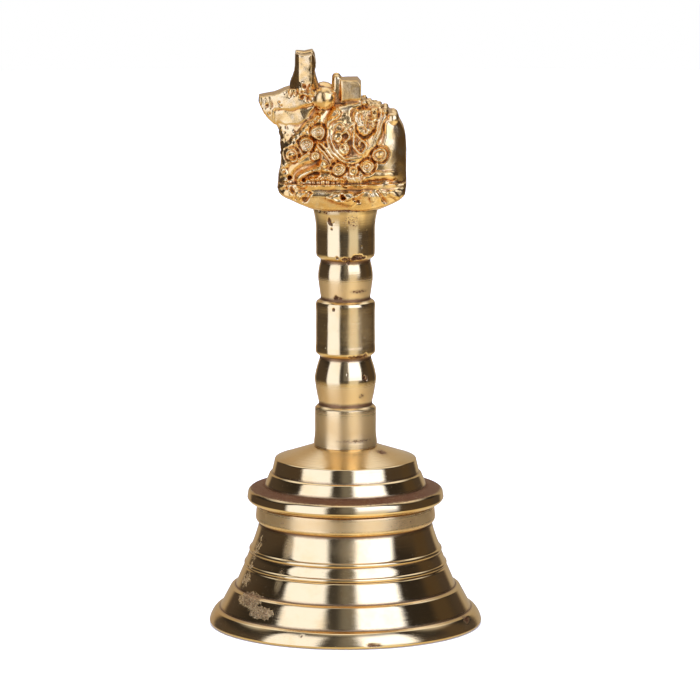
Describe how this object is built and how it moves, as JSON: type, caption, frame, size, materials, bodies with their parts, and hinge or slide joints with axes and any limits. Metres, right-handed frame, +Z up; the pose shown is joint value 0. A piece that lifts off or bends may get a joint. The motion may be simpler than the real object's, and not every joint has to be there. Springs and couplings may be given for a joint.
{
  "type": "hand bell",
  "caption": "Turned brass hand bell with a stepped cup, a beaded grip topped by a resting bull, and a clapper that swings inside.",
  "frame": {"origin": "centre of the mouth plane, which is the flat ring that the bell stands on", "axes": "+Z up the bell's axis to the bull, -X the way the bull faces, Y across the bull"},
  "size_m": [0.071, 0.071, 0.15],
  "materials": {
    "cast_brass": "as cast and brushed, turned bright below the figure",
    "turned_brass": "turned and polished",
    "hardware_brass": "dull drawn brass",
    "steel": "zinc plated, dull"
  },
  "bodies": {
    "bell": {"nandi_handle": "cast_brass", "bell_cup": "turned_brass", "crown_washer": "steel", "clamp_nut": "steel", "eye_bolt": "steel"},
    "link": {"link_ring": "hardware_brass"},
    "clapper": {"clapper_rod": "hardware_brass", "clapper_ball": "hardware_brass"}
  },
  "joints": [
    {"name": "link_swing", "type": "hinge", "parent": "bell", "child": "link", "pos_m": [0, 0, 0.0307], "axis": [1, 0, 0], "range_deg": [-45, 45]},
    {"name": "clapper_swing", "type": "hinge", "parent": "link", "child": "clapper", "pos_m": [0, 0, 0.02525], "axis": [0, 1, 0], "range_deg": [-25, 25]}
  ]
}
